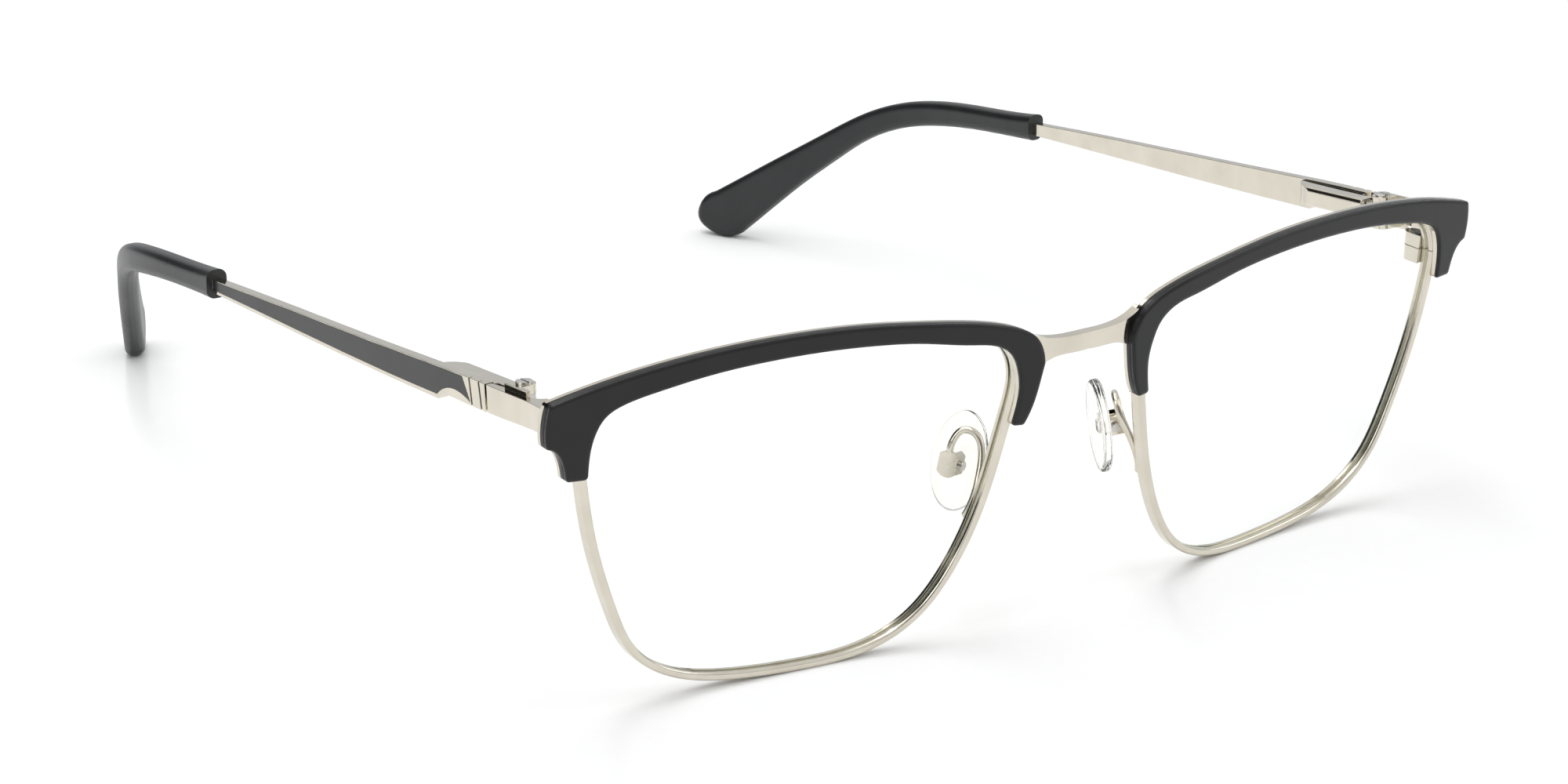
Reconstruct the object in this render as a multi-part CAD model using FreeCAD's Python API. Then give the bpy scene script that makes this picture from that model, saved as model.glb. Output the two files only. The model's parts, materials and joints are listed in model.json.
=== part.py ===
import FreeCAD, Part
import math
import os

# Eyeglasses: metal eyewires with brow plates over their upper half, spring-hinged
# temples and adjustable nose pads. Millimetres, +Z up, +Y back along the temples,
# X = 0 the plane of symmetry. The wearer's left side is +X. The glasses stand open
# on a table at Z = 0. The origin is under the middle of the footprint.

V = FreeCAD.Vector

FOOTPRINT_MID = 70.2

LENS_CENTRE_X = 36.0
LENS_CENTRE_Z = 19.3
FRONT_RADIUS = 600.0
FACE_FORM_SLOPE = 0.1275
PANTO_SLOPE = -0.098

RIM_WIDTH = 1.0
RIM_DEPTH = 1.8
GROOVE_DEPTH = 0.35
GROOVE_WIDTH = 0.6
LENS_THICKNESS = 1.2
LENS_GAP = 0.03

BROW_RADIUS = 1000.0
BACKING_THICKNESS = 0.95
BACKING_FRONT = 0.4
PLATE_THICKNESS = 0.4
PLATE_EDGE_R = 0.3

BRIDGE_THICKNESS = 1.3

HINGE_X = 65.0
HINGE_Y = 13.6
HINGE_Z = 35.6
TEMPLE_SLOPE_DEG = -5.0
KNUCKLE_R = 1.35
EYELET_R = 1.3
KNUCKLE_HALF = 2.1
EYELET_HALF = 0.98
HINGE_SCREW_R = 0.6
SHANK_R = 0.55
RUNNING_GAP = 0.05
BORE_R = 1.05
SPRING_WIRE_R = 0.16
SPRING_MEAN_R = 0.82
SPRING_TURNS = 9
MOUTH_U = 2.6
BUSH_LENGTH = 1.4
NUT_U = 11.2
NUT_LENGTH = 0.8
BORE_END_U = 12.4

TEMPLE_THICKNESS = 1.25
INLAY_DEPTH = 0.3
TIP_THICKNESS = 2.8
TIP_EDGE_R = 1.1

BLOCK_BOTTOM = 31.3
BLOCK_TOP = 35.0
SPLIT_Z = 33.3
SLIT = 0.08
BLOCK_SCREW_R = 0.5

PAD_HALF_LENGTH = 6.2
PAD_HALF_WIDTH = 3.6
PAD_THICKNESS = 1.2
PAD_CENTRE = V(10.2, 4.9, 19.9)
PAD_PIVOT_DEPTH = 2.3
PAD_SCREW_R = 0.35
ARM_WIRE_R = 0.45

# Centreline of the eyewire, seen from the front, as (x, z).
RIM_POINTS = [
    (9.4, 31.8), (9.9, 34.9), (11.9, 37.6), (17.0, 38.95), (30.0, 40.75),
    (43.0, 40.9), (55.5, 39.5), (61.4, 37.9), (63.7, 34.6), (63.75, 28.5),
    (62.2, 20.9), (59.3, 12.2), (56.6, 6.9), (51.8, 3.15), (44.0, 1.1),
    (35.0, 0.5), (26.5, 1.05), (20.2, 3.95), (15.9, 9.3), (12.4, 17.8),
    (10.2, 27.3),
]

# Edges of the brow plate, seen from the front, as (x, z).
BROW_TOP = [
    (6.5, 34.4), (6.85, 36.0), (7.8, 37.65), (9.8, 39.05), (12.9, 40.1), (21.9, 41.7),
    (30.9, 42.7), (39.9, 43.0), (49.0, 42.65), (58.0, 41.6), (68.75, 39.25),
]
BROW_OUTER = [(68.75, 39.25), (69.15, 37.2), (69.0, 34.15)]
BROW_STEP = [(69.0, 34.15), (67.7, 33.4), (67.0, 32.1), (66.5, 29.85)]
BROW_FOOT = [(66.5, 29.85), (63.9, 29.75)]
BROW_LOWER = [
    (63.9, 29.75), (63.75, 33.0), (63.2, 35.2), (62.1, 36.95), (60.3, 37.95), (56.4, 38.9),
    (49.8, 39.95), (43.2, 40.45), (36.6, 40.55), (30.0, 40.25), (23.4, 39.5), (16.8, 38.25),
    (12.9, 37.35), (11.15, 36.05), (10.2, 34.1), (9.75, 31.95), (9.9, 29.55), (10.4, 27.1),
]
BROW_TIP = [(10.4, 27.1), (8.7, 26.95)]
BROW_NASAL = [(8.7, 26.95), (7.75, 28.9), (6.95, 32.0), (6.5, 34.4)]

# Bridge outline, seen from the front, right half, as (x, z).
BRIDGE_TOP = [(0.0, 36.85), (3.5, 36.85), (5.6, 37.1), (8.5, 38.2)]
BRIDGE_END = [(8.5, 38.2), (8.5, 33.0)]
BRIDGE_BOTTOM = [(8.5, 33.0), (6.2, 34.1), (4.8, 34.6), (2.6, 34.75), (0.0, 34.8)]
BRIDGE_MIDDLE = [(0.0, 34.8), (0.0, 36.85)]

# Plan curves of the temple's outer face and of the tip's middle, as (x, y).
TEMPLE_OUTER = [(67.5, 10.0), (67.5, 18.0), (67.45, 28.0), (67.1, 58.0), (66.6, 86.0)]
TIP_MIDDLE = [
    (65.97, 85.4), (65.1, 105.0), (64.0, 112.5), (61.6, 120.0), (57.0, 130.0),
    (51.3, 141.0), (47.0, 149.0),
]

# Side outlines of the temple, as (y, z).
TEMPLE_TOP = [(18.12, 36.75), (28.4, 35.8), (39.4, 34.6), (58.8, 32.6), (86.0, 29.65)]
TEMPLE_END = [(86.0, 29.65), (86.0, 28.0)]
TEMPLE_BOTTOM = [(86.0, 28.0), (58.8, 29.7), (39.4, 31.0), (28.3, 31.85)]
TEMPLE_NOTCH = [(28.3, 31.85), (27.3, 32.85)]
TEMPLE_CHIN = [(27.3, 32.85), (22.0, 33.2), (17.83, 33.5)]
TEMPLE_BUTT = [(17.83, 33.5), (18.12, 36.75)]
INLAY_TOP = [(22.9, 36.2), (28.4, 35.68), (39.4, 34.48), (58.8, 32.48), (85.3, 29.6)]
INLAY_END = [(85.3, 29.6), (85.3, 28.45)]
INLAY_BOTTOM = [(85.3, 28.45), (58.8, 30.15), (39.4, 31.45), (28.5, 32.35)]
INLAY_CHIN = [(28.5, 32.35), (27.5, 33.15), (21.1, 33.6)]
INLAY_FRONT = [(21.1, 33.6), (22.9, 36.2)]
CORE_TOP = [(84.0, 29.6), (100.0, 27.9), (108.0, 26.6), (114.0, 25.1), (122.0, 20.6), (128.0, 16.0)]
CORE_END = [(128.0, 16.0), (127.0, 14.9)]
CORE_BOTTOM = [(127.0, 14.9), (121.0, 19.5), (113.0, 24.0), (107.4, 25.4), (100.0, 26.4), (84.0, 28.4)]
CORE_START = [(84.0, 28.4), (84.0, 29.6)]
TIP_TOP = [
    (85.5, 30.95), (100.0, 29.0), (108.5, 27.65), (114.0, 26.25), (119.6, 23.85),
    (126.8, 19.1), (135.4, 12.9), (143.4, 7.0),
]
TIP_REAR = [(143.4, 7.0), (145.6, 4.8), (145.8, 2.3), (144.0, 0.6), (141.5, 0.0), (139.3, 0.9)]
TIP_BOTTOM = [
    (139.3, 0.9), (134.1, 6.35), (129.3, 11.2), (125.4, 14.75), (119.5, 19.55),
    (112.5, 22.8), (106.6, 24.3), (99.5, 25.55), (85.25, 27.2),
]
TIP_FRONT = [(85.25, 27.2), (85.5, 30.95)]

# Path of the nose pad arm's wire.
ARM_PATH = [
    V(13.25, 0.05, 15.3), V(12.35, -0.4, 17.8), V(11.4, -0.05, 20.2), V(10.6, 0.75, 22.6),
    V(10.7, 1.9, 24.3), V(11.5, 3.1, 24.5), V(12.4, 3.7, 23.4), V(12.9, 3.8, 21.9),
]


def spline(points):
    # Smooth curve through the points, or a straight edge when there are only two.
    if len(points) == 2:
        return Part.makeLine(points[0], points[1])
    curve = Part.BSplineCurve()
    curve.interpolate(points)
    return curve.toShape()


def prism_y(edges_xz, y_from=-12.0, y_to=12.0):
    edges = [spline([V(x, y_from, z) for x, z in e]) for e in edges_xz]
    return Part.Face(Part.Wire(edges)).extrude(V(0, y_to - y_from, 0))


def prism_x(edges_yz, x_from=40.0, x_to=75.0):
    edges = [spline([V(x_from, y, z) for y, z in e]) for e in edges_yz]
    return Part.Face(Part.Wire(edges)).extrude(V(x_to - x_from, 0, 0))


def prism_z(edges_xy, z_from, z_to):
    edges = [spline([V(x, y, z_from) for x, y in e]) for e in edges_xy]
    return Part.Face(Part.Wire(edges)).extrude(V(0, 0, z_to - z_from))


def front_ball(offset, radius=FRONT_RADIUS):
    # The front follows a large sphere that faces forward, turned by the face form
    # and the pantoscopic tilt. A positive offset moves the surface forward.
    normal = V(-FACE_FORM_SLOPE, 1.0, -PANTO_SLOPE).normalize()
    centre = V(LENS_CENTRE_X, 0, LENS_CENTRE_Z) + normal * radius
    return Part.makeSphere(radius + offset, centre)


def layer(prism, back, front, radius=FRONT_RADIUS):
    # The part of a prism between two offsets of the front surface.
    return prism.common(front_ball(front, radius)).cut(front_ball(back, radius))


def rim_prism(offset):
    # Closed smooth outline at a constant distance outside the eyewire's centreline.
    curve = Part.BSplineCurve()
    curve.interpolate(Points=[V(x, -12, z) for x, z in RIM_POINTS], PeriodicFlag=True)
    first, last = curve.FirstParameter, curve.LastParameter
    count = 60
    moved = []
    for i in range(count):
        at = first + (last - first) * i / count
        along = V(curve.tangent(at)[0]).normalize()
        moved.append(curve.value(at) + V(-along.z, 0, along.x) * offset)
    outline = Part.BSplineCurve()
    outline.interpolate(Points=moved, PeriodicFlag=True)
    return Part.Face(Part.Wire(outline.toShape())).extrude(V(0, 24, 0))


def edges_at_depth(solid, offset, radius=FRONT_RADIUS):
    # Edges that lie on the front surface moved by an offset.
    ball = front_ball(offset, radius)
    centre = ball.BoundBox.Center
    found = []
    for edge in solid.Edges:
        span = edge.LastParameter - edge.FirstParameter
        points = [edge.valueAt(edge.FirstParameter + span * part) for part in (0.0, 0.3, 0.6, 1.0)]
        gaps = [abs((p - centre).Length - radius - offset) for p in points]
        if max(gaps) < 0.02:
            found.append(edge)
    return found


def rim():
    # Rounded wire with a lens groove, split at the closing block.
    band = rim_prism(RIM_WIDTH / 2).cut(rim_prism(-RIM_WIDTH / 2))
    body = biggest(layer(band, -RIM_DEPTH, 0))
    body = body.makeFillet(0.3, edges_at_depth(body, 0))
    body = body.makeFillet(0.25, edges_at_depth(body, -RIM_DEPTH))
    middle = -RIM_DEPTH / 2
    groove = layer(
        rim_prism(-RIM_WIDTH / 2 + GROOVE_DEPTH), middle - GROOVE_WIDTH / 2, middle + GROOVE_WIDTH / 2
    )
    slit = Part.makeBox(6, 12, SLIT, V(61, -2, SPLIT_Z - SLIT / 2))
    return body.cut(groove).cut(slit)


def lens():
    middle = -RIM_DEPTH / 2
    half = LENS_THICKNESS / 2
    inside = rim_prism(-RIM_WIDTH / 2 - LENS_GAP)
    body = layer(inside, middle - half, middle + half)
    edge = GROOVE_WIDTH / 2 - LENS_GAP
    tongue = layer(rim_prism(-RIM_WIDTH / 2 + GROOVE_DEPTH - LENS_GAP), middle - edge, middle + edge)
    return body.fuse(tongue).removeSplitter()


BROW_EDGES = [BROW_TOP, BROW_OUTER, BROW_STEP, BROW_FOOT, BROW_LOWER, BROW_TIP, BROW_NASAL]


def edges_along_y(solid):
    found = []
    for edge in solid.Edges:
        a, b = edge.Vertexes[0].Point, edge.Vertexes[-1].Point
        if abs(a.y - b.y) > 5 and abs(a.x - b.x) + abs(a.z - b.z) < 0.01:
            found.append(edge)
    return found


def brow_prism():
    # Brow plate outline with its corners rounded.
    body = prism_y(BROW_EDGES)
    corners = [e for e in edges_along_y(body) if e.Vertexes[0].Point.x > 7]
    return body.makeFillet(0.5, corners)


def brow_plate():
    # Lacquered plate with a rounded front edge.
    front = BACKING_FRONT + PLATE_THICKNESS
    body = biggest(layer(brow_prism(), BACKING_FRONT, front, BROW_RADIUS))
    return body.makeFillet(PLATE_EDGE_R, edges_at_depth(body, front, BROW_RADIUS))


def brow_backing():
    # Metal carrier that fits round the eyewire and laps over its front.
    body = layer(brow_prism(), -BACKING_THICKNESS, BACKING_FRONT, BROW_RADIUS)
    return biggest(body.cut(layer(rim_prism(RIM_WIDTH / 2), -3, 0)))


def mirrored(shape):
    return shape.mirror(V(0, 0, 0), V(1, 0, 0))


def bridge(backing, wire, plate):
    half = prism_y([BRIDGE_TOP, BRIDGE_END, BRIDGE_BOTTOM, BRIDGE_MIDDLE])
    both = half.fuse(mirrored(half)).removeSplitter()
    reach = 9.0
    front = Part.Arc(V(-reach, -4.25, 30), V(0, -5.0, 30), V(reach, -4.25, 30)).toShape()
    back = Part.Arc(
        V(-reach, -4.25 + BRIDGE_THICKNESS, 30), V(0, -5.0 + BRIDGE_THICKNESS, 30),
        V(reach, -4.25 + BRIDGE_THICKNESS, 30),
    ).toShape()
    ends = [Part.makeLine(V(s, -4.25, 30), V(s, -4.25 + BRIDGE_THICKNESS, 30)) for s in (-reach, reach)]
    strap = Part.Face(Part.Wire(Part.__sortEdges__([front, back, *ends]))).extrude(V(0, 0, 12))
    body = both.common(strap)
    for piece in (backing, wire, plate):
        body = body.cut(piece).cut(mirrored(piece))
    return biggest(body)


def biggest(shape):
    return sorted(shape.Solids, key=lambda s: s.Volume)[-1]


def endpiece():
    plan = prism_z(
        [
            [(68.5, 3.0), (68.1, 5.0), (67.65, 8.0), (67.5, 11.0)],
            [(67.5, 11.0), (67.5, 18.6)],
            [(67.5, 18.6), (66.9, 18.6)],
            [(66.9, 18.6), (66.45, 15.4)],
            [(66.45, 15.4), (66.45, 10.4)],
            [(66.45, 10.4), (66.2, 9.4), (65.3, 8.6)],
            [(65.3, 8.6), (65.3, 3.0)],
            [(65.3, 3.0), (68.5, 3.0)],
        ],
        30, 40,
    )
    side = prism_x(
        [
            [(2.5, 38.2), (8.0, 37.6), (17.65, 36.8)],
            [(17.65, 36.8), (17.37, 33.6)],
            [(17.37, 33.6), (13.0, 34.0), (8.0, 34.6), (2.5, 35.3)],
            [(2.5, 35.3), (2.5, 38.2)],
        ],
        60, 72,
    )
    return biggest(plan.common(side).common(front_ball(-BACKING_THICKNESS, BROW_RADIUS)))


def hinge_frame(shape):
    # Moves a hinge piece, built around its own screw axis with +Y along the shank,
    # to its place, tilted with the temple.
    placed = shape.copy()
    placed.rotate(V(0, 0, 0), V(1, 0, 0), TEMPLE_SLOPE_DEG)
    placed.translate(V(HINGE_X, HINGE_Y, HINGE_Z))
    return placed


def cylinder(radius, length, start, axis=V(0, 0, 1)):
    return Part.makeCylinder(radius, length, start, axis)


def front_leaf(end):
    # Two knuckles on a pad that is soldered to the endpiece's inner face.
    thick = KNUCKLE_HALF - EYELET_HALF - RUNNING_GAP
    body = Part.makeBox(0.5, 4.6, 2 * KNUCKLE_HALF, V(1.1, -3.1, -KNUCKLE_HALF))
    for low in (-KNUCKLE_HALF, KNUCKLE_HALF - thick):
        body = body.fuse(cylinder(KNUCKLE_R, thick, V(0, 0, low)))
        body = body.fuse(Part.makeBox(1.3, 2 * KNUCKLE_R, thick, V(0, -KNUCKLE_R, low)))
    gap = EYELET_HALF + RUNNING_GAP
    body = body.cut(cylinder(EYELET_R + 0.08, 2 * gap, V(0, 0, -gap)))
    body = body.cut(cylinder(HINGE_SCREW_R, 6, V(0, 0, -3)))
    return biggest(hinge_frame(body.removeSplitter()).cut(end))


def hinge_screw():
    body = cylinder(HINGE_SCREW_R, 2 * KNUCKLE_HALF, V(0, 0, -KNUCKLE_HALF))
    head = cylinder(0.95, 0.3, V(0, 0, KNUCKLE_HALF))
    slot = Part.makeBox(0.25, 3, 0.3, V(-0.125, -1.5, KNUCKLE_HALF + 0.15))
    return hinge_frame(body.fuse(head).removeSplitter().cut(slot))


def hinge_slug():
    # Eyelet on the screw, with a neck and a round shank that runs back into the housing.
    body = cylinder(EYELET_R, 2 * EYELET_HALF, V(0, 0, -EYELET_HALF))
    body = body.fuse(Part.makeBox(1.2, MOUTH_U - 0.2, 2 * EYELET_HALF, V(-0.6, 0, -EYELET_HALF)))
    body = body.fuse(cylinder(SHANK_R, NUT_U + NUT_LENGTH - 1.4, V(0, 1.4, 0), V(0, 1, 0)))
    return hinge_frame(body.cut(cylinder(HINGE_SCREW_R + RUNNING_GAP, 4, V(0, 0, -2))).removeSplitter())


def slug_nut():
    body = cylinder(BORE_R - 0.1, NUT_LENGTH, V(0, NUT_U, 0), V(0, 1, 0))
    return hinge_frame(body.cut(cylinder(SHANK_R, 3, V(0, NUT_U - 1, 0), V(0, 1, 0))))


def hinge_bush():
    # Ring pressed into the housing's mouth, which guides the shank.
    body = cylinder(BORE_R, BUSH_LENGTH, V(0, MOUTH_U, 0), V(0, 1, 0))
    return hinge_frame(body.cut(cylinder(SHANK_R + RUNNING_GAP, 4, V(0, MOUTH_U - 1, 0), V(0, 1, 0))))


def hinge_spring():
    low = MOUTH_U + BUSH_LENGTH + SPRING_WIRE_R + 0.02
    high = NUT_U - SPRING_WIRE_R - 0.02
    path = Part.makeHelix((high - low) / SPRING_TURNS, high - low, SPRING_MEAN_R)
    ring = Part.Wire(Part.makeCircle(SPRING_WIRE_R, V(SPRING_MEAN_R, 0, 0), V(0, 1, 0)))
    coil = Part.Wire(path).makePipeShell([ring], True, True)
    coil.rotate(V(0, 0, 0), V(1, 0, 0), -90)
    coil.translate(V(0, low, 0))
    return hinge_frame(coil)


def hinge_housing(plate):
    half_height = 1.3
    plan = prism_z(
        [
            [(-1.5, MOUTH_U), (0.75, MOUTH_U)],
            [(0.75, MOUTH_U), (0.75, 4.5)],
            [(0.75, 4.5), (1.5, 4.5)],
            [(1.5, 4.5), (1.5, 16.2)],
            [(1.5, 16.2), (0.2, 15.6), (-1.0, 13.9), (-1.5, 12.4)],
            [(-1.5, 12.4), (-1.5, MOUTH_U)],
        ],
        -half_height, half_height,
    )
    long_edges = []
    for edge in plan.Edges:
        box = edge.BoundBox
        if box.XMax < -1.4 and box.YLength > 5:
            long_edges.append(edge)
    body = plan.makeFillet(0.6, long_edges)
    body = body.cut(cylinder(BORE_R, BORE_END_U - MOUTH_U, V(0, MOUTH_U, 0), V(0, 1, 0)))
    return biggest(hinge_frame(body).cut(plate))


def offset_curve(points, distance):
    # Points at a constant sideways distance from a plan curve.
    curve = Part.BSplineCurve()
    curve.interpolate([V(x, y, 0) for x, y in points])
    moved = []
    for x, y in points:
        along = V(curve.tangent(curve.parameter(V(x, y, 0)))[0]).normalize()
        moved.append((x + along.y * distance, y - along.x * distance))
    return moved


def plan_strip(points, inner, outer, z_from=-5.0, z_to=45.0):
    # Upright strip between two offsets of a plan curve.
    a = offset_curve(points, outer)
    b = offset_curve(points, inner)[::-1]
    return prism_z([a, [a[-1], b[0]], b, [b[-1], a[0]]], z_from, z_to)


def temple_plate():
    edges = [TEMPLE_TOP, TEMPLE_END, TEMPLE_BOTTOM, TEMPLE_NOTCH, TEMPLE_CHIN, TEMPLE_BUTT]
    return prism_x(edges, 60, 72).common(plan_strip(TEMPLE_OUTER, -TEMPLE_THICKNESS, 0))


def temple_core():
    edges = [CORE_TOP, CORE_END, CORE_BOTTOM, CORE_START]
    return prism_x(edges).common(plan_strip(TIP_MIDDLE, -0.5, 0.5))


def temple_inlay(plate):
    edges = [INLAY_TOP, INLAY_END, INLAY_BOTTOM, INLAY_CHIN, INLAY_FRONT]
    return prism_x(edges, 60, 72).common(plan_strip(TEMPLE_OUTER, -INLAY_DEPTH, 0)).common(plate)


def temple(plate, inlay):
    # Stamped plate with slanted decorative grooves near the hinge and a thin core
    # that runs on inside the tip.
    body = plate.fuse(temple_core()).cut(inlay)
    for y_top in (19.35, 21.45):
        groove = prism_x(
            [
                [(y_top, 37.5), (y_top + 0.38, 37.5)],
                [(y_top + 0.38, 37.5), (y_top - 0.82, 32.0)],
                [(y_top - 0.82, 32.0), (y_top - 1.2, 32.0)],
                [(y_top - 1.2, 32.0), (y_top, 37.5)],
            ],
            67.1, 72,
        )
        body = body.cut(groove)
    return biggest(body.removeSplitter())


def tip_outer():
    edges = [TIP_TOP, TIP_REAR, TIP_BOTTOM, TIP_FRONT]
    half = TIP_THICKNESS / 2
    body = biggest(prism_x(edges).common(plan_strip(TIP_MIDDLE, -half, half)))
    return body.makeFillet(TIP_EDGE_R, [e for e in body.Edges if e.BoundBox.YMax > 86])


def temple_tip(arm):
    return biggest(tip_outer().cut(arm))


def block_prism():
    plan = prism_z(
        [
            [(62.9, 3.0), (65.0, 3.0)],
            [(65.0, 3.0), (65.0, 7.0)],
            [(65.0, 7.0), (63.95, 8.0), (62.9, 7.0)],
            [(62.9, 7.0), (62.9, 3.0)],
        ],
        BLOCK_BOTTOM, BLOCK_TOP,
    )
    return plan.common(front_ball(-RIM_DEPTH))


def closing_block(z_from, z_to):
    body = block_prism().common(Part.makeBox(6, 12, z_to - z_from, V(61, 0, z_from)))
    body = body.cut(cylinder(BLOCK_SCREW_R, 6, V(63.95, 6.4, BLOCK_BOTTOM - 1)))
    return body.cut(cylinder(0.8, 1, V(63.95, 6.4, BLOCK_TOP - 0.45)))


def block_screw():
    body = cylinder(BLOCK_SCREW_R, 3.0, V(63.95, 6.4, BLOCK_TOP - 3.4))
    head = cylinder(0.8, 0.45, V(63.95, 6.4, BLOCK_TOP - 0.45))
    slot = Part.makeBox(3, 0.22, 0.4, V(62.5, 6.29, BLOCK_TOP - 0.2))
    return body.fuse(head).removeSplitter().cut(slot)


def pad_axes():
    # Normal towards the nose, the pad's long axis, and its short axis.
    normal = V(-0.9, 0.38, -0.16).normalize()
    up = V(-0.16, -0.05, 0.985)
    up = (up - normal * up.dot(normal)).normalize()
    return normal, up, up.cross(normal)


def pad_frame(shape):
    # Pad pieces are built with +Z towards the nose and +Y up, front face at Z = 0.
    normal, up, side = pad_axes()
    turn = FreeCAD.Rotation(side, up, normal, "ZXY")
    placed = shape.copy()
    placed.Placement = FreeCAD.Placement(PAD_CENTRE, turn).multiply(shape.Placement)
    return placed


def nose_pad():
    # Soft oval with a tab at the back that the pad screw passes through.
    oval = Part.Ellipse(V(0, 0, 0), PAD_HALF_LENGTH, PAD_HALF_WIDTH).toShape()
    oval.rotate(V(0, 0, 0), V(0, 0, 1), 90)
    body = Part.Face(Part.Wire(oval)).extrude(V(0, 0, -PAD_THICKNESS))
    body = body.makeFillet(0.45, body.Edges[:])
    tab = Part.makeBox(0.9, 1.5, PAD_PIVOT_DEPTH - 0.6, V(-0.45, -0.75, -PAD_PIVOT_DEPTH))
    tab = tab.fuse(cylinder(0.75, 0.9, V(-0.45, 0, -PAD_PIVOT_DEPTH), V(1, 0, 0)))
    hole = cylinder(PAD_SCREW_R + RUNNING_GAP, 4, V(-2, 0, -PAD_PIVOT_DEPTH), V(1, 0, 0))
    return pad_frame(body.fuse(tab).removeSplitter().cut(hole))


def pad_box():
    # Small cup with two ears either side of the pad's tab.
    body = cylinder(1.6, 2.0, V(0, 0, -3.6)).common(Part.makeBox(2.4, 3.4, 4, V(-1.2, -1.7, -4)))
    body = body.cut(Part.makeBox(1.0, 4, 1.5, V(-0.5, -2, -3.1)))
    hole = cylinder(PAD_SCREW_R, 4, V(-2, 0, -PAD_PIVOT_DEPTH), V(1, 0, 0))
    return pad_frame(body.cut(hole))


def pad_screw():
    body = cylinder(PAD_SCREW_R, 2.4, V(-1.2, 0, -PAD_PIVOT_DEPTH), V(1, 0, 0))
    head = cylinder(0.6, 0.35, V(1.2, 0, -PAD_PIVOT_DEPTH), V(1, 0, 0))
    return pad_frame(body.fuse(head).removeSplitter())


def pad_arm(wire, box):
    # Bent wire from its foot on the eyewire, over a loop, down to the pad's cup.
    path = Part.Wire(spline(ARM_PATH))
    along = ARM_PATH[1] - ARM_PATH[0]
    ring = Part.Wire(Part.makeCircle(ARM_WIRE_R, ARM_PATH[0], along))
    body = path.makePipeShell([ring], True, True)
    foot = Part.makeSphere(ARM_WIRE_R, ARM_PATH[0])
    return biggest(body.fuse(foot).cut(wire).cut(box))


def save(node, shape):
    placed = shape.copy()
    placed.translate(V(0, -FOOTPRINT_MID, 0))
    placed.exportStep("parts/" + node + ".step")


def build():
    os.makedirs("parts", exist_ok=True)
    wire = rim()
    backing = brow_backing()
    plate = brow_plate()
    end = endpiece()
    flat = temple_plate()
    inlay = temple_inlay(flat)
    arm = temple(flat, inlay)
    cup = pad_box()
    halves = {
        "rim": wire,
        "lens": lens(),
        "brow_backing": backing,
        "brow_plate": plate,
        "endpiece": end,
        "closing_block_upper": closing_block(SPLIT_Z + SLIT / 2, BLOCK_TOP),
        "closing_block_lower": closing_block(BLOCK_BOTTOM, SPLIT_Z - SLIT / 2),
        "block_screw": block_screw(),
        "front_leaf": front_leaf(end),
        "hinge_screw": hinge_screw(),
        "hinge_slug": hinge_slug(),
        "slug_nut": slug_nut(),
        "hinge_spring": hinge_spring(),
        "hinge_bush": hinge_bush(),
        "hinge_housing": hinge_housing(flat),
        "temple": arm,
        "temple_inlay": inlay,
        "temple_tip": temple_tip(arm),
        "pad_arm": pad_arm(wire, cup),
        "pad_box": cup,
        "pad_screw": pad_screw(),
        "nose_pad": nose_pad(),
    }
    for name, shape in halves.items():
        save(name + "_left", shape)
        save(name + "_right", mirrored(shape))
    save("bridge", bridge(backing, wire, plate))


build()
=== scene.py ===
import json
import math

import bpy
from mathutils import Matrix, Vector


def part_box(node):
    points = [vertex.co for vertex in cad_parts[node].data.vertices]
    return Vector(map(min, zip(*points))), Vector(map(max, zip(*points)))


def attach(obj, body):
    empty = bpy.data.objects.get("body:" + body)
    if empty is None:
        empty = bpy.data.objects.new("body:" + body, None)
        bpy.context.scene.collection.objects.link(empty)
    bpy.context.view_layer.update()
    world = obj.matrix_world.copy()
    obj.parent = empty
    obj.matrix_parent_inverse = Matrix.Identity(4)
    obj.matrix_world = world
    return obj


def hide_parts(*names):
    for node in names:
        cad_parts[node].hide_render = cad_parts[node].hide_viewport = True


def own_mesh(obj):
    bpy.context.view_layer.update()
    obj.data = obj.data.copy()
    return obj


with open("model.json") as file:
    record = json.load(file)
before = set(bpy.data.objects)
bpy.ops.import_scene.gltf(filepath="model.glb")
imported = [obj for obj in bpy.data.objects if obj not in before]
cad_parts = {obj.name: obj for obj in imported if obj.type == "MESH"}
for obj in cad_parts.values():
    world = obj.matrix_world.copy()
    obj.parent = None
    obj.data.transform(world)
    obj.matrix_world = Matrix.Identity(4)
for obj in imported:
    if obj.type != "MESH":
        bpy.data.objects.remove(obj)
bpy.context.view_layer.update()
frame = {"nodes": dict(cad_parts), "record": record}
nodes = frame["nodes"]
joints = {joint["name"]: joint for joint in frame["record"]["behaviour"]["joints"]}


# ---------------------------------------------------------------- materials

class NodeTree:
    """A shader tree that is built line by line."""

    def __init__(self, owner):
        owner.use_nodes = True
        self.tree = owner.node_tree
        self.tree.nodes.clear()

    def node(self, kind, inputs=None, **settings):
        n = self.tree.nodes.new(kind)
        for key, value in settings.items():
            setattr(n, key, value)
        for key, value in (inputs or {}).items():
            socket = n.inputs[key]
            if isinstance(value, bpy.types.NodeSocket):
                self.tree.links.new(value, socket)
            else:
                socket.default_value = value
        return n

    def remap(self, value, low, high, start=0.3, end=0.7):
        n = self.node("ShaderNodeMapRange", {"Value": value, "From Min": start, "From Max": end,
                                             "To Min": low, "To Max": high})
        return n.outputs["Result"]

    def mix(self, factor, a, b):
        n = self.node("ShaderNodeMix", data_type="RGBA")
        for index, value in ((0, factor), (6, a), (7, b)):
            if isinstance(value, bpy.types.NodeSocket):
                self.tree.links.new(value, n.inputs[index])
            else:
                n.inputs[index].default_value = value
        return n.outputs[2]

    def maths(self, operation, *values):
        n = self.node("ShaderNodeMath", dict(enumerate(values)), operation=operation)
        return n.outputs[0]

    def dot(self, a, b):
        n = self.node("ShaderNodeVectorMath", {0: a, 1: b}, operation="DOT_PRODUCT")
        return n.outputs["Value"]


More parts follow.
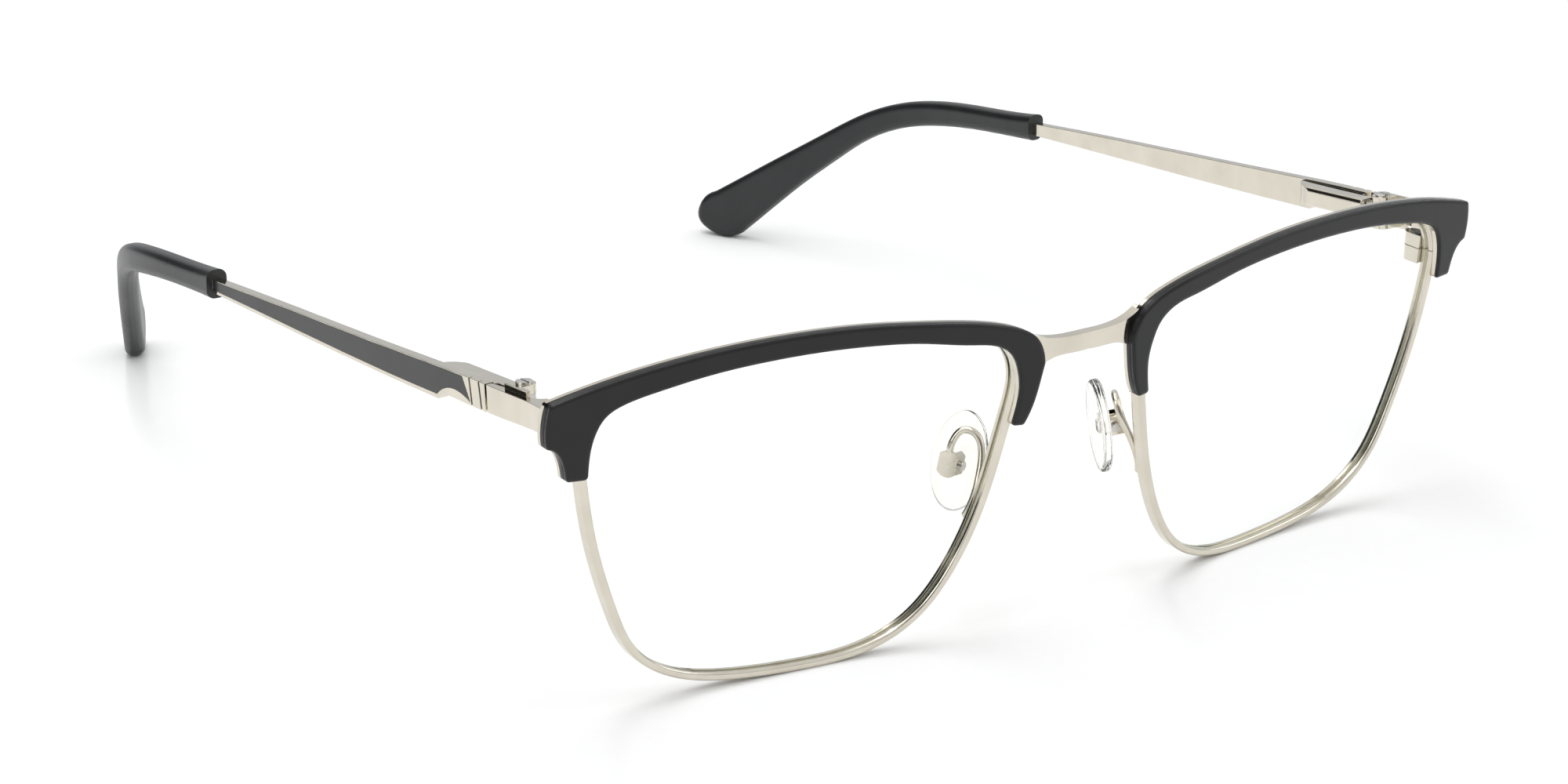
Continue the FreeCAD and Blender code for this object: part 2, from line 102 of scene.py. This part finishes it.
class Shader(NodeTree):
    """A procedural material. Lengths in its textures are in metres."""

    def __init__(self, name):
        self.material = bpy.data.materials.new(name)
        super().__init__(self.material)
        self.out = self.tree.nodes.new("ShaderNodeOutputMaterial")
        where = self.tree.nodes.new("ShaderNodeTexCoord")
        self.place, self.facing = where.outputs["Object"], where.outputs["Normal"]

    def noise(self, period, detail=2.0, stretch=(1, 1, 1)):
        """Soft noise whose features are about `period` metres across."""
        place = self.node("ShaderNodeMapping", {"Vector": self.place, "Scale": stretch})
        n = self.node("ShaderNodeTexNoise", {"Vector": place.outputs[0],
                                             "Scale": 1 / period, "Detail": detail})
        return n.outputs["Fac"]

    def soft_edges(self, radius):
        """Normals as if every edge were rounded to this radius."""
        return self.node("ShaderNodeBevel", {"Radius": radius}, samples=6).outputs[0]

    def bump(self, height, distance, strength=1.0, normal=None):
        inputs = {"Height": height, "Distance": distance, "Strength": strength}
        if normal is not None:
            inputs["Normal"] = normal
        return self.node("ShaderNodeBump", inputs).outputs[0]

    def principled(self, **inputs):
        named = {key.replace("_", " "): value for key, value in inputs.items()}
        return self.node("ShaderNodeBsdfPrincipled", named).outputs[0]

    def done(self, surface):
        self.tree.links.new(surface, self.out.inputs["Surface"])
        return self.material


def silver(s):
    """Polished warm silver plating, faintly clouded, with fine rubbing marks."""
    cloud = s.noise(0.004, 3.0)
    rub = s.noise(0.0006, 4.0, (1.0, 0.12, 1.0))
    grain = s.noise(0.00005, 2.0)
    colour = s.mix(s.remap(cloud, 0.0, 1.0), (0.635, 0.592, 0.505, 1), (0.70, 0.655, 0.565, 1))
    return s.principled(
        Base_Color=colour, Metallic=1.0,
        Roughness=s.remap(rub, 0.06, 0.13),
        Normal=s.bump(grain, 0.000002, 0.35, s.soft_edges(0.00012)))


def polished_metal():
    s = Shader("polished_silver")
    return s.done(silver(s))


def screw_steel():
    s = Shader("screw_steel")
    grain = s.noise(0.00012, 3.0)
    return s.done(s.principled(
        Base_Color=s.mix(s.remap(grain, 0.0, 1.0), (0.55, 0.54, 0.52, 1), (0.68, 0.67, 0.65, 1)),
        Metallic=1.0, Roughness=s.remap(grain, 0.18, 0.32),
        Normal=s.bump(grain, 0.000004, 0.4, s.soft_edges(0.00006))))


def lacquer(s):
    """Glossy black with a trace of orange peel and cushioned edges."""
    peel = s.noise(0.0005, 2.0)
    cloud = s.noise(0.006, 2.0)
    return s.principled(
        Base_Color=s.mix(
            s.remap(cloud, 0.0, 1.0), (0.004, 0.004, 0.0045, 1), (0.007, 0.007, 0.0075, 1)),
        Roughness=s.remap(cloud, 0.11, 0.17), Specular_IOR_Level=0.35,
        Normal=s.bump(peel, 0.000004, 0.2, s.soft_edges(0.0006)))


def black_plate():
    s = Shader("black_lacquer")
    return s.done(lacquer(s))


# The brow plates follow a sphere of this radius, whose front faces along FRONT_NORMAL
# at the lens centre (written for the left side; the right side is its mirror image).
BROW_RADIUS = 1.0
FRONT_NORMAL = Vector((-0.1275, 1.0, 0.098)).normalized()
HINGE_BEHIND_LENS = 0.0136
LENS_CENTRE = Vector((0.036, joints["temple_fold_left"]["pos_m"][1] - HINGE_BEHIND_LENS, 0.0193))
LACQUER_EDGE = -0.00042
LACQUER_SOFTNESS = 0.00003


def lacquered_carrier():
    """Silver carrier whose outer walls are lacquered black, except for a line along the back."""
    s = Shader("lacquered_carrier")
    x, y, z = s.node("ShaderNodeSeparateXYZ", {0: s.place}).outputs
    here = s.node("ShaderNodeCombineXYZ", {0: s.maths("ABSOLUTE", x), 1: y, 2: z}).outputs[0]
    centre = LENS_CENTRE + FRONT_NORMAL * BROW_RADIUS
    reach = s.node("ShaderNodeVectorMath", {0: here, 1: centre}, operation="DISTANCE")
    forward = s.maths("SUBTRACT", reach.outputs["Value"], BROW_RADIUS)
    edge, soft = LACQUER_EDGE, LACQUER_SOFTNESS
    black = s.remap(forward, 0.0, 1.0, edge - soft, edge + soft)
    nx, _, nz = s.node("ShaderNodeSeparateXYZ", {0: s.facing}).outputs
    mirrored = s.maths("MULTIPLY", nx, s.maths("SIGN", x))
    facing = s.node("ShaderNodeCombineXYZ", {0: mirrored, 2: nz}).outputs[0]
    outward = s.node("ShaderNodeVectorMath", {0: here, 1: LENS_CENTRE}, operation="SUBTRACT")
    outside = s.maths("GREATER_THAN", s.dot(facing, outward.outputs[0]), 0.0)
    black = s.maths("MULTIPLY", black, outside)
    both = s.node("ShaderNodeMixShader", {"Fac": black, 1: silver(s), 2: lacquer(s)})
    return s.done(both.outputs[0])


def black_inlay():
    s = Shader("inlay_lacquer")
    cloud = s.noise(0.005, 3.0)
    grain = s.noise(0.00008, 2.0)
    return s.done(s.principled(
        Base_Color=s.mix(
            s.remap(cloud, 0.0, 1.0), (0.014, 0.014, 0.015, 1), (0.022, 0.022, 0.023, 1)),
        Roughness=s.remap(cloud, 0.28, 0.38),
        Normal=s.bump(grain, 0.000002, 0.4, s.soft_edges(0.00008))))


def tip_plastic():
    s = Shader("matte_tip_plastic")
    grain = s.noise(0.00009, 3.0)
    cloud = s.noise(0.004, 2.0)
    return s.done(s.principled(
        Base_Color=s.mix(
            s.remap(cloud, 0.0, 1.0), (0.009, 0.0105, 0.011, 1), (0.013, 0.0145, 0.015, 1)),
        Roughness=s.remap(grain, 0.30, 0.40),
        Normal=s.bump(grain, 0.000006, 0.5)))


def clear_lens():
    """A thin coated lens: it lets everything through and keeps a weak, faintly green sheen."""
    s = Shader("coated_lens")
    view = s.node("ShaderNodeNewGeometry")
    facing = s.maths("ABSOLUTE", s.dot(view.outputs["Normal"], view.outputs["Incoming"]))
    grazing = s.maths("POWER", s.maths("SUBTRACT", 1.0, facing), 5.0)
    share = s.remap(grazing, 0.008, 0.5, 0.0, 1.0)
    smear = s.noise(0.008, 4.0)
    sheen = s.node("ShaderNodeBsdfGlossy", {"Color": (0.80, 0.95, 0.88, 1),
                                            "Roughness": s.remap(smear, 0.0, 0.03)}).outputs[0]
    through = s.node("ShaderNodeBsdfTransparent", {"Color": (0.998, 1.0, 0.999, 1)}).outputs[0]
    return s.done(s.node("ShaderNodeMixShader", {"Fac": share, 1: through, 2: sheen}).outputs[0])


def clear_silicone():
    s = Shader("clear_silicone")
    cloud = s.noise(0.002, 3.0)
    clear = s.principled(
        Base_Color=s.mix(s.remap(cloud, 0.0, 1.0), (0.975, 0.965, 0.92, 1), (0.985, 0.98, 0.95, 1)),
        Roughness=s.remap(cloud, 0.01, 0.05), IOR=1.41, Transmission_Weight=1.0,
        Normal=s.bump(s.noise(0.0008, 2.0), 0.00002, 0.3))
    shade = s.node("ShaderNodeBsdfTransparent", {"Color": (0.93, 0.92, 0.89, 1)}).outputs[0]
    shadow = s.node("ShaderNodeLightPath").outputs["Is Shadow Ray"]
    return s.done(s.node("ShaderNodeMixShader", {"Fac": shadow, 1: clear, 2: shade}).outputs[0])


FINISH = {
    "polished_metal": polished_metal(),
    "screw_steel": screw_steel(),
    "black_plate": black_plate(),
    "black_inlay": black_inlay(),
    "tip_plastic": tip_plastic(),
    "lens": clear_lens(),
    "clear_silicone": clear_silicone(),
}

CARRIER = lacquered_carrier()

for name, node in nodes.items():
    for socket in node.material_slots:
        finish = FINISH[socket.material.name.split(".")[0]]
        socket.material = CARRIER if name.startswith("brow_backing") else finish


# ---------------------------------------------------------------- the hinge springs

COIL_TURNS = 9
COIL_RADIUS = 0.00082
COIL_WIRE_RADIUS = 0.00016
COIL_CLEARANCE = 0.00012
STEPS_PER_TURN = 32
WIRE_SIDES = 12


def coil_mesh(name, start, end, hint):
    """A closed round wire wound in a helix from start to end."""
    axis = (end - start).normalized()
    across = (hint - axis * hint.dot(axis)).normalized()
    other = axis.cross(across)
    rise = (end - start) / (COIL_TURNS * STEPS_PER_TURN)
    vertices, faces = [], []
    for step in range(COIL_TURNS * STEPS_PER_TURN + 1):
        turn = 2 * math.pi * step / STEPS_PER_TURN
        outward = across * math.cos(turn) + other * math.sin(turn)
        centre = start + rise * step + outward * COIL_RADIUS
        for k in range(WIRE_SIDES):
            angle = 2 * math.pi * k / WIRE_SIDES
            spoke = outward * math.cos(angle) + axis * math.sin(angle)
            vertices.append(centre + spoke * COIL_WIRE_RADIUS)
            if step:
                a, b = (step - 1) * WIRE_SIDES, step * WIRE_SIDES
                faces.append((a + k, a + (k + 1) % WIRE_SIDES, b + (k + 1) % WIRE_SIDES, b + k))
    last = len(vertices) - WIRE_SIDES
    faces.append(tuple(range(WIRE_SIDES))[::-1])
    faces.append(tuple(range(last, last + WIRE_SIDES)))
    mesh = bpy.data.meshes.new(name)
    mesh.from_pydata(vertices, [], faces)
    mesh.shade_smooth()
    return mesh


def hinge_coil(side):
    """The spring between the bush and the slug's nut, which the temple's slide shortens; here it is
    wound at rest length and only carried with the slug.
    """
    slide = joints["temple_spring_" + side]
    axis = Vector(slide["axis"]).normalized()
    hinge = Vector(joints["temple_fold_" + side]["pos_m"])
    start_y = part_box("hinge_bush_" + side)[1][1] + COIL_CLEARANCE
    end_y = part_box("slug_nut_" + side)[0][1] - COIL_CLEARANCE
    start = hinge + axis * ((start_y - hinge.y) / axis.y)
    end = hinge + axis * ((end_y - hinge.y) / axis.y)
    mesh = coil_mesh("hinge_coil_" + side, start, end, Vector((0, 0, 1)))
    mesh.materials.append(FINISH["screw_steel"])
    coil = bpy.data.objects.new("hinge_coil_" + side, mesh)
    bpy.context.scene.collection.objects.link(coil)
    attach(coil, "slug_" + side)
    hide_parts("hinge_spring_" + side)
    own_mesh(coil)


for side in ("left", "right"):
    hinge_coil(side)


# ---------------------------------------------------------------- floor, light and camera

FLOOR_HALF_WIDTH = 3.0


def studio_floor():
    s = Shader("studio_floor")
    paper = s.noise(0.0015, 4.0)
    surface = s.principled(
        Base_Color=s.mix(s.remap(paper, 0.0, 1.0), (0.93, 0.935, 0.945, 1), (0.94, 0.945, 0.95, 1)),
        Roughness=0.9, Specular_IOR_Level=0.1, Normal=s.bump(paper, 0.00002, 0.1))
    mesh = bpy.data.meshes.new("floor")
    r = FLOOR_HALF_WIDTH
    corners = [(-r, -r, 0), (r, -r, 0), (r, r, 0), (-r, r, 0)]
    mesh.from_pydata(corners, [], [(0, 1, 2, 3)])
    mesh.materials.append(s.done(surface))
    floor = bpy.data.objects.new("floor", mesh)
    bpy.context.scene.collection.objects.link(floor)


def softbox(name, place, width, height, radiance):
    """A rectangular light that faces the glasses."""
    light = bpy.data.lights.new(name, "AREA")
    light.shape = "RECTANGLE"
    light.size, light.size_y = width, height
    light.energy = radiance * math.pi * width * height
    lamp = bpy.data.objects.new(name, light)
    lamp.location = place
    lamp.rotation_euler = (-Vector(place)).to_track_quat("-Z", "Y").to_euler()
    bpy.context.scene.collection.objects.link(lamp)


# Each flag: direction from the glasses, cosine of its half angle, and how dark it is.
FLAGS = [
    ((-0.476, 0.79, 0.38), 0.89, 0.03),
    ((-0.549, -0.761, 0.346), 0.95, 0.25),
]
TENT_LOW, TENT_HIGH = 0.62, 0.92
FLAG_SOFTNESS = 0.06
TENT_HEIGHT = 0.8


def studio_tent():
    """A white tent, dimmer near the floor, with dark flags that put dark lines in the metal."""
    world = bpy.data.worlds.new("studio")
    w = NodeTree(world)
    toward = w.node("ShaderNodeTexCoord").outputs["Generated"]
    height = w.node("ShaderNodeSeparateXYZ", {0: toward}).outputs["Z"]
    light = w.remap(height, TENT_LOW, TENT_HIGH, 0.0, TENT_HEIGHT)
    for direction, reach, dark in FLAGS:
        near = w.dot(toward, Vector(direction).normalized())
        shade = w.remap(near, 1.0, dark, reach - FLAG_SOFTNESS, reach)
        light = w.maths("MULTIPLY", light, shade)
    warmth = w.remap(height, 0.0, 1.0, 0.0, TENT_HEIGHT)
    colour = w.mix(warmth, (0.93, 0.96, 1.0, 1), (1.0, 0.99, 0.97, 1))
    surface = w.node("ShaderNodeBackground", {"Color": colour, "Strength": light}).outputs[0]
    out = w.tree.nodes.new("ShaderNodeOutputWorld")
    w.tree.links.new(surface, out.inputs["Surface"])
    bpy.context.scene.world = world


def studio_light():
    studio_tent()
    softbox("top_softbox", (-0.15, 0.25, 0.80), 0.8, 0.6, 1.35)
    softbox("top_strip", (-0.10, 0.05, 0.85), 0.8, 0.05, 9.0)
    softbox("left_softbox", (-0.85, -0.10, 0.45), 0.5, 0.5, 1.3)
    softbox("right_softbox", (0.8, -0.5, 0.5), 0.5, 0.5, 1.2)


CAMERA_AZIMUTH, CAMERA_ELEVATION, CAMERA_ROLL = -35.79, 20.22, 1.02
CAMERA_DISTANCE = 0.4636
CAMERA_TARGET = Vector((-0.01085, -0.0302, 0.01767))
SENSOR_WIDTH_MM, LENS_MM = 36.0, 85.05


def camera():
    azimuth, elevation = math.radians(CAMERA_AZIMUTH), math.radians(CAMERA_ELEVATION)
    roll = math.radians(CAMERA_ROLL)
    back = Vector((math.sin(azimuth) * math.cos(elevation),
                   -math.cos(azimuth) * math.cos(elevation), math.sin(elevation)))
    right = (-back).cross(Vector((0, 0, 1))).normalized()
    up = right.cross(-back)
    right, up = (right * math.cos(roll) + up * math.sin(roll),
                 up * math.cos(roll) - right * math.sin(roll))
    data = bpy.data.cameras.new("camera")
    data.sensor_width = SENSOR_WIDTH_MM
    data.lens = LENS_MM
    data.clip_start, data.clip_end = 0.01, 20.0
    cam = bpy.data.objects.new("camera", data)
    cam.matrix_world = Matrix((
        (right.x, up.x, back.x, 0), (right.y, up.y, back.y, 0),
        (right.z, up.z, back.z, 0), (0, 0, 0, 1)))
    cam.location = CAMERA_TARGET + back * CAMERA_DISTANCE
    bpy.context.scene.collection.objects.link(cam)
    bpy.context.scene.camera = cam


studio_floor()
studio_light()
camera()
bpy.context.scene.view_settings.view_transform = "Standard"
